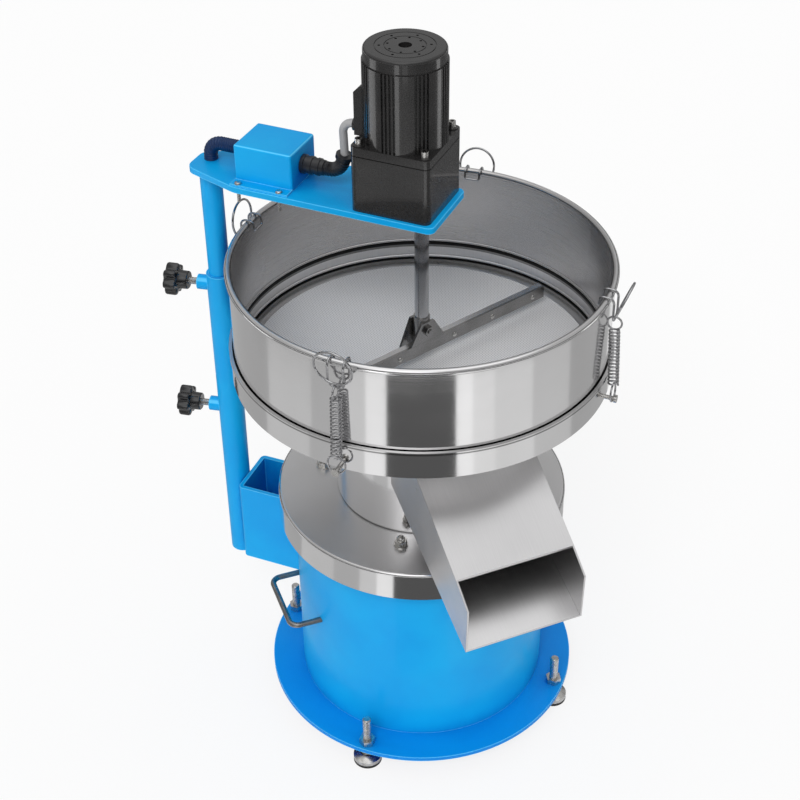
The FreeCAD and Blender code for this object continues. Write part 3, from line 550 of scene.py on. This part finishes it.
# A round bar along a path: at each point a circle across the tangent, turned from a fixed reference.
def tube(path, radius, reference, sides, closed=False):
    path = np.asarray(path, float)
    if closed:
        tangent = np.roll(path, -1, 0) - np.roll(path, 1, 0)
    else:
        tangent = np.gradient(path, axis=0)
    tangent /= np.linalg.norm(tangent, axis=1)[:, None]
    side = np.cross(tangent, np.broadcast_to(reference, path.shape))
    side /= np.linalg.norm(side, axis=1)[:, None]
    up = np.cross(side, tangent)
    angle = np.linspace(0, 2 * math.pi, sides, endpoint=False)
    radii = np.broadcast_to(radius, len(path))[:, None, None]
    ringPoints = side[:, None] * np.cos(angle)[:, None] + up[:, None] * np.sin(angle)[:, None]
    return path[:, None] + radii * ringPoints


# Turns an array of points about Z.
def turned(points, azimuth):
    angle = math.radians(azimuth)
    c, s = math.cos(angle), math.sin(angle)
    return points @ np.array([[c, s, 0], [-s, c, 0], [0, 0, 1]])


# Rows of radius and height turned about Z into a grid; place moves it off the axis.
def revolved(profile, sides, place=(0, 0, 0)):
    profile = np.asarray(profile, float)
    angle = np.linspace(0, 2 * math.pi, sides, endpoint=False)
    radius = profile[:, :1]
    points = np.stack([radius * np.cos(angle), radius * np.sin(angle), profile[:, 1:] + angle * 0], -1)
    return points + np.asarray(place, float)


# Turns a shape drawn about Z so that its axis runs along a direction from a place.
def pointed(points, place, direction):
    along = np.asarray(direction, float) / np.linalg.norm(direction)
    across = np.cross((0, 0, 1) if abs(along[2]) < 0.9 else (1, 0, 0), along)
    across /= np.linalg.norm(across)
    return points @ np.stack([across, np.cross(along, across), along]) + np.asarray(place, float)


# Straight, arc, straight: the corner is rounded with a radius, and the points lie evenly along the path.
def bentPath(start, corner, end, radius, step):
    start, corner, end = (np.asarray(p, float) for p in (start, corner, end))
    back = (start - corner) / np.linalg.norm(start - corner)
    on = (end - corner) / np.linalg.norm(end - corner)
    half = math.acos(float(np.clip(back @ on, -1, 1))) / 2
    reach = radius / math.tan(half)
    centre = corner + (back + on) / np.linalg.norm(back + on) * radius / math.sin(half)
    first = corner + back * reach - centre
    last = corner + on * reach - centre
    share = np.linspace(0, 1, bendPoints)[:, None]
    sweep = math.pi - 2 * half
    arc = centre + (np.sin((1 - share) * sweep) * first + np.sin(share * sweep) * last) / math.sin(sweep)
    corners = np.concatenate([start[None], arc, end[None]])
    lengths = np.concatenate([[0], np.cumsum(np.linalg.norm(np.diff(corners, axis=0), axis=1))])
    along = np.arange(0, lengths[-1], step)
    return np.stack([np.interp(along, lengths, corners[:, axis]) for axis in range(3)], -1), along


# A screw thread: the radius rises and falls evenly with height in pitches less angle in turns.
def thread(values, radius, start, end):
    height = np.arange(start, end, values["pitch"] / 6)[:, None]
    angle = np.linspace(0, 2 * math.pi, values["threadSides"], endpoint=False)
    wave = np.abs((height / values["pitch"] - angle / (2 * math.pi)) % 1 - 0.5) * 2
    r = radius + values["crest"] * wave
    return np.stack([r * np.cos(angle), r * np.sin(angle), height + angle * 0], -1)


# Latch springs

spring = {
    "azimuths": (49.4, 133.0, 223.6, 315.5),
    "anchor": (0.2258, 0.492),
    "hook": (0.2202, 0.596),
    "coilStart": 0.0185,
    "coilEnd": 0.0905,
    "coilRadius": 0.0054,
    "wire": 0.0011,
    "turns": 16,
    "turnPoints": 20,
    "ringPoints": 28,
    "sides": 10,
}


# A helix about a slanted line, with a ring at each end that hangs on its screw and its hook.
def latchSprings(values):
    parts = []
    anchor = np.array([values["anchor"][0], 0, values["anchor"][1]])
    hook = np.array([values["hook"][0], 0, values["hook"][1]])
    line = (hook - anchor) / np.linalg.norm(hook - anchor)
    side = np.array([0.0, 1.0, 0.0])
    across = np.cross(side, line)
    length = np.linalg.norm(hook - anchor)
    turn = np.linspace(0, 2 * math.pi * values["turns"], values["turns"] * values["turnPoints"])[:, None]
    rise = np.linspace(values["coilStart"], values["coilEnd"], len(turn))[:, None]
    coil = anchor + line * rise + values["coilRadius"] * (across * np.cos(turn) + side * np.sin(turn))
    around = np.linspace(0, 2 * math.pi, values["ringPoints"], endpoint=False)[:, None]
    topRadius = (length - values["coilEnd"]) / 2 + values["wire"]
    topCentre = anchor + line * (length - topRadius + values["wire"] * 2)
    top = topCentre + topRadius * (across * np.cos(around) + line * np.sin(around))
    lowRadius = values["coilStart"] / 2 + values["wire"]
    lowCentre = anchor + line * (values["coilStart"] / 2 - values["wire"])
    low = lowCentre + lowRadius * (side * np.cos(around) + line * np.sin(around))
    for azimuth in values["azimuths"]:
        for path, reference, closed in ((coil, line, False), (top, side, True), (low, across, True)):
            points = turned(tube(path, values["wire"], reference, values["sides"], closed), azimuth)
            parts.append((points, closed, True, not closed))
    piece = gridPiece("spring_coils", parts, "spring_steel", "base")
    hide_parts("latch_springs")


latchSprings(spring)
print("springs done")


# Conduits, drawn along the arm and turned with it

armAzimuth = -46.4
# postRun: start, end, side, foot and bend; motorRun: start, corner, side and bend
conduit = {
    "sides": 32,
    "height": 0.713,
    "radius": 0.008,
    "pitch": 0.0028,
    "groove": 0.0008,
    "step": 0.0004,
    "postRun": (-0.207, -0.256, 0.0005, 0.692, 0.015),
    "motorRun": (-0.1375, -0.092, -0.006, 0.017),
    "motorEnd": (-0.0865, 0.7345),
    "bootLength": 0.027,
    "bootRadii": (0.010, 0.0085),
    "ribs": 3,
    "ribFrom": 0.2,
    "ribHeight": 0.0009,
    "collarRadius": 0.0095,
    "collarLength": 0.005,
}


# Corrugated tube: the radius dips as a squared cosine of the length.
def corrugated(along, values):
    return values["radius"] - values["groove"] * np.cos(math.pi * along / values["pitch"]) ** 2


def postConduit(values):
    start, end, y, foot, bend = values["postRun"]
    path, along = bentPath((start, y, values["height"]), (end, y, values["height"]), (end, y, foot), bend,
                           values["step"])
    points = tube(path, corrugated(along, values), (0, 1, 0), values["sides"])
    piece = gridPiece("post_conduit_skin", [(turned(points, armAzimuth), False, True, True)],
                      "navy_plastic", "head")
    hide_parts("post_conduit")


# Boot, elbow and collar on one path: a ribbed taper, then corrugation, then a plain ring.
def motorConduit(values):
    start, corner, y, bend = values["motorRun"]
    endX, endZ = values["motorEnd"]
    path, along = bentPath((start, y, values["height"]), (corner, y, values["height"]), (endX, y, endZ), bend,
                           values["step"])
    share = np.clip(along / values["bootLength"], 0, 1)
    wide, slim = values["bootRadii"]
    ribs = values["ribHeight"] * (np.sin(share * values["ribs"] * 2 * math.pi) > values["ribFrom"])
    boot = wide + (slim - wide) * share + ribs
    radius = np.where(along < values["bootLength"], boot, corrugated(along, values))
    radius = np.where(along > along[-1] - values["collarLength"], values["collarRadius"], radius)
    points = tube(path, radius, (0, 1, 0), values["sides"])
    piece = gridPiece("motor_conduit_skin", [(turned(points, armAzimuth), False, True, True)],
                      "conduit_black", "head")
    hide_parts("motor_conduit")


lead = {
    "foot": (-0.0865, -0.006, 0.7345),
    "corner": (-0.0862, -0.0095, 0.7755),
    "gland": (-0.072, -0.010, 0.7755),
    "bend": 0.0138,
    "radius": 0.0045,
    "step": 0.0008,
    "sides": 24,
}


# The lead leaves the collar upwards and bends over to its gland in one wide arc.
def motorLead(values):
    path, along = bentPath(values["foot"], values["corner"], values["gland"], values["bend"], values["step"])
    path = np.concatenate([path, [values["gland"]]])
    points = tube(path, values["radius"], (0, 1, 0), values["sides"])
    piece = gridPiece("lead_skin", [(turned(points, armAzimuth), False, True, True)], "grey_plastic", "head")
    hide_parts("motor_lead")


postConduit(conduit)
motorLead(lead)
motorConduit(conduit)
print("conduits done")


# Clamp screws and star knobs

knob = {
    "post": (-0.18173, 0.17466),
    "azimuth": 145.0,
    "heights": {"upper": 0.534, "lower": 0.356},
    "lobes": 7,
    "lobePower": 0.7,
    "starDepth": 0.0025,
    "starPoints": 140,
    # distance from the post's axis, radius, and how much of the star's depth
    "rows": ((0.0385, 0.0080, 0.0), (0.0385, 0.0098, 0.0), (0.0395, 0.0108, 0.0), (0.0480, 0.0110, 0.0),
             (0.0500, 0.0122, 0.1), (0.0505, 0.0150, 0.6), (0.0512, 0.0164, 0.9), (0.0530, 0.0170, 1.0),
             (0.0630, 0.0170, 1.0), (0.0648, 0.0164, 0.9), (0.0657, 0.0148, 0.7), (0.0660, 0.0110, 0.3),
             (0.0656, 0.0094, 0.0), (0.0650, 0.0086, 0.0), (0.0649, 0.0020, 0.0)),
    "screwRadius": 0.0039,
    "screwSpan": (0.0272, 0.0384),
    "pitch": 0.00125,
    "crest": 0.0004,
    "threadSides": 24,
}


# Star: a circle plus a rounded cosine of the lobes; the rows carry it along the screw's axis.
def starKnobs(values):
    angle = np.linspace(0, 2 * math.pi, values["starPoints"], endpoint=False)
    lobe = np.cos(values["lobes"] * angle)
    star = np.sign(lobe) * np.abs(lobe) ** values["lobePower"] * values["starDepth"]
    rows = np.array(values["rows"])
    radius = rows[:, 1:2] + rows[:, 2:3] * star
    points = np.stack([radius * np.cos(angle), radius * np.sin(angle), rows[:, :1] + angle * 0], -1)
    a = math.radians(values["azimuth"])
    way = (math.cos(a), math.sin(a), 0)
    for name, height in values["heights"].items():
        place = (*values["post"], height)
        piece = gridPiece("star_knob_" + name, [(pointed(points, place, way), False, True, True)],
                          "black_plastic", name + "_clamp")
        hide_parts("clamp_knob_" + name)
        screw = pointed(thread(values, values["screwRadius"], *values["screwSpan"]), place, way)
        gridPiece("clamp_thread_" + name, [(screw, False, True, False)], "zinc_steel", name + "_clamp")


starKnobs(knob)
print("knobs done")


# Small fasteners

stud = {
    "circle": 0.182,
    "azimuths": (45, 135, 225, 315),
    "radius": 0.005,
    # heights above the nuts and under the plate
    "spans": ((0.037, 0.0698), (0.0131, 0.015)),
    "pitch": 0.0015,
    "crest": 0.0003,
    "threadSides": 24,
}


# The same thread on each stud, above its nut and between pad and plate.
def studThreads(values):
    parts = []
    for azimuth in values["azimuths"]:
        for span in values["spans"]:
            points = thread(values, values["radius"], *span)
            parts.append((turned(points + (values["circle"], 0, 0), azimuth), False, True, False))
    gridPiece("stud_threads", parts, "zinc_steel", "base")


bladeAzimuth = 16.3
rivet = {
    "face": -0.0111,
    "height": 0.5105,
    "places": (0.040, 0.098, 0.162),
    "radius": 0.0030,
    "rise": 0.0016,
    "bowSteps": 8,
    "bowEnd": math.pi / 2 - 0.1,
    "sides": 20,
}


# Button heads on the blade's face: a quarter circle turned about the bolt's axis.
def bladeBolts(values):
    parts = []
    bow = np.linspace(0, values["bowEnd"], values["bowSteps"])
    profile = np.stack([values["radius"] * np.cos(bow), values["rise"] * np.sin(bow)], -1)
    for side in (-1, 1):
        for reach in values["places"]:
            place = (side * reach, values["face"], values["height"])
            points = pointed(revolved(profile, values["sides"]), place, (0, -1, 0))
            parts.append((turned(points, bladeAzimuth), False, True, True))
    gridPiece("blade_bolts", parts, "zinc_steel", "stirrer")


leg = {
    "reach": (0.0105, 0.180),
    "across": (-0.0082, -0.0011),
    "heights": (0.516, 0.5188),
}


# The blade's pale flat leg, on both sides of the hub: a rectangle carried along the blade.
def bladeLeg(values):
    parts = []
    back, front = values["across"]
    low, top = values["heights"]
    ring = np.array([(back, low), (front, low), (front, top), (back, top)])
    for side in (-1, 1):
        rows = [np.insert(ring, 0, side * reach, axis=1) for reach in values["reach"]]
        parts.append((turned(np.stack(rows), bladeAzimuth), False, True, True))
    gridPiece("blade_leg", parts, slotOf["stirrer_blade"], "stirrer", "strip_steel")


vents = {
    "offset": -0.018,
    "top": 0.868,
    # count, circle and first azimuth of each ring of holes
    "rings": ((8, 0.0185, 10.0), (6, 0.0265, 25.0)),
    # a hole's disc as shares of its radius and heights above the cap
    "radius": 0.0014,
    "disc": ((1.0, -0.0004), (1.0, 0.00002), (0.8, 0.00004), (0.2, 0.00004)),
    "screwReach": 0.037,
    "socketFloor": 0.7716,
    "socketRadius": 0.0019,
    "socketDisc": ((1.0, 0.0), (1.0, 0.0002), (0.1, 0.0002)),
    "sides": 16,
}


# Blind holes in the cap and the floors of the screws' sockets: small dark discs turned about their axes,
# painted shade in the holes.
def capHoles(values):
    parts = []

    def addDisc(profile, radius, x, y, z):
        points = revolved(np.array(profile) * (radius, 1.0), values["sides"], (values["offset"] + x, y, z))
        parts.append((turned(points, armAzimuth), False, True, True))

    for count, circle, start in values["rings"]:
        for azimuth in np.radians(start + 360 * np.arange(count) / count):
            addDisc(values["disc"], values["radius"], circle * math.cos(azimuth), circle * math.sin(azimuth),
                    values["top"])
    for x in (-values["screwReach"], values["screwReach"]):
        for y in (-values["screwReach"], values["screwReach"]):
            addDisc(values["socketDisc"], values["socketRadius"], x, y, values["socketFloor"])
    gridPiece("cap_holes", parts, "motor_black", "head", "hole_black")


studThreads(stud)
bladeBolts(rivet)
bladeLeg(leg)
capHoles(vents)
print("fasteners done")


# Studio

studio = {
    "floorSize": 30.0,
    "floorTones": ((0.93, 0.93, 0.93), (0.925, 0.925, 0.925)),
    "floorScale": 3.0,
    "floorFade": (0.4, 0.6),
    "worldStrength": 0.66,
    # sine of the elevation and brightness that metal sees there
    "sky": ((0.0, 0.03), (0.12, 0.03), (0.38, 0.46), (0.80, 0.50), (0.90, 1.15), (1.0, 1.2)),
    "skyLamp": (-0.42, -0.56, 0.72),
    "skyLampGlow": 0.9,
    "skyLampEdge": (0.93, 0.98),
    "sunStrength": 1.35,
    "sunAngle": 30.0,
    "sunFrom": (-0.45, -0.62, 0.80),
    "cardLift": 0.002,
    "cardStep": 0.0002,
    "cameraWhite": 0.8,
    # azimuth, width, brightness, nearest and farthest reach; the bowl mirrors the inner ring of cards
    # and the motor the outer one
    "cards": (
        (0.0, 360.0, 0.44, 0.28, 1.12), (0.0, 360.0, 0.18, 1.12, 3.5),
        (246.5, 36.0, 0.10, 0.28, 1.12), (222.5, 11.0, 1.0, 0.28, 1.12), (211.0, 12.0, 0.70, 0.28, 1.12),
        (195.0, 20.0, 0.50, 0.28, 1.12), (169.0, 32.0, 0.62, 0.28, 1.12), (269.0, 9.0, 1.08, 0.28, 1.12),
        (279.5, 12.0, 0.90, 0.28, 1.12), (297.0, 23.0, 0.78, 0.28, 1.12), (322.0, 27.0, 0.62, 0.28, 1.12),
        (31.0, 14.0, 0.8, 0.28, 1.12), (49.0, 9.0, 0.2, 0.28, 1.12), (62.0, 12.0, 0.75, 0.28, 1.12),
        (224.0, 12.0, 2.6, 1.48, 2.1), (150.0, 24.0, 1.8, 1.48, 2.1), (346.0, 14.0, 2.2, 1.48, 2.1),
        (246.0, 14.0, 1.1, 1.84, 2.1), (250.0, 46.0, 1.7, 1.16, 1.48), (200.6, 26.0, 0.7, 1.16, 1.48)),
}


# Floor: diffuse, mixed with white for the camera so that it reads as paper and keeps its shadow.
def makeFloor(values):
    finish = Finish("floor_paper")
    seen = finish.node("ShaderNodeLightPath", output="Is Camera Ray")
    grain = finish.noise(values["floorScale"], 2.0)
    colour = finish.blend(finish.ramp(grain, *values["floorFade"]), *values["floorTones"])
    paper = finish.node("ShaderNodeBsdfDiffuse", inputs={0: colour})
    glow = finish.node("ShaderNodeEmission", inputs={0: (1, 1, 1, 1), 1: 1.0})
    mixed = finish.node("ShaderNodeMixShader", inputs={0: seen * values["cameraWhite"], 1: paper, 2: glow})
    finish.close(mixed)
    half = values["floorSize"] / 2
    mesh = bpy.data.meshes.new("floor")
    corners = [(-half, -half, 0), (half, -half, 0), (half, half, 0), (-half, half, 0)]
    mesh.from_pydata(corners, [], [(0, 1, 2, 3)])
    mesh.materials.append(finish.material)
    floor = bpy.data.objects.new("floor", mesh)
    scene.collection.objects.link(floor)


# A studio card that only shines in reflections: a flat sector of a ring just above the floor.
def makeCard(name, azimuth, width, glow, near, far, lift):
    finish = Finish(name)
    finish.close(finish.node("ShaderNodeEmission", inputs={0: (1, 1, 1, 1), 1: glow}))
    steps = max(8, int(width))
    angle = np.radians(np.linspace(azimuth - width / 2, azimuth + width / 2, steps))
    ends = [np.stack([r * np.cos(angle), r * np.sin(angle), angle * 0 + lift], -1) for r in (near, far)]
    first = np.arange(steps - 1)
    faces = np.stack([first, first + steps, first + steps + 1, first + 1], -1)
    mesh = bpy.data.meshes.new(name)
    mesh.from_pydata(np.concatenate(ends).tolist(), [], faces.tolist())
    mesh.materials.append(finish.material)
    card = bpy.data.objects.new(name, mesh)
    scene.collection.objects.link(card)
    card.visible_camera = False
    card.visible_diffuse = False
    card.visible_shadow = False
    card.visible_transmission = False


# One wide sun from the front left; it isn't seen in reflections, where the cards and the sky do its work.
def makeLights(values):
    data = bpy.data.lights.new("sun", "SUN")
    data.energy = values["sunStrength"]
    data.angle = math.radians(values["sunAngle"])
    sun = bpy.data.objects.new("sun", data)
    scene.collection.objects.link(sun)
    sun.visible_glossy = False
    sun.rotation_mode = "QUATERNION"
    sun.rotation_quaternion = Vector(values["sunFrom"]).to_track_quat("Z", "Y")


# World: even light. Seen directly it is white; in reflections it is dark at the horizon, grey above and
# white overhead, with one soft lamp.
def makeWorld(values):
    world = bpy.data.worlds.new("studio")
    scene.world = world
    sky = Finish("studio", world)
    camera = sky.node("ShaderNodeLightPath", output="Is Camera Ray")
    glossy = camera.sibling("Is Glossy Ray")
    direction = sky.node("ShaderNodeTexCoord", output="Generated")
    height = sky.axes(direction)[2]
    stops = [(place, (glow / 2,) * 3) for place, glow in values["sky"]]      # halved: a stop holds up to 1
    shine = sky.node("ShaderNodeValToRGB", {"stops": stops}, {0: height}) * 2.0
    toLamp = sky.dot(direction, Vector(values["skyLamp"]).normalized())
    shine = shine + sky.ramp(toLamp, *values["skyLampEdge"]) * values["skyLampGlow"]
    strength = camera + (1 - camera) * (glossy * shine + (1 - glossy) * values["worldStrength"])
    back = sky.node("ShaderNodeBackground", inputs={0: (1, 1, 1, 1), 1: strength})
    sky.close(back, "ShaderNodeOutputWorld")


makeFloor(studio)
for number, card in enumerate(studio["cards"]):
    makeCard("card_%d" % number, *card, studio["cardLift"] + studio["cardStep"] * number)
makeLights(studio)
makeWorld(studio)
print("studio done")
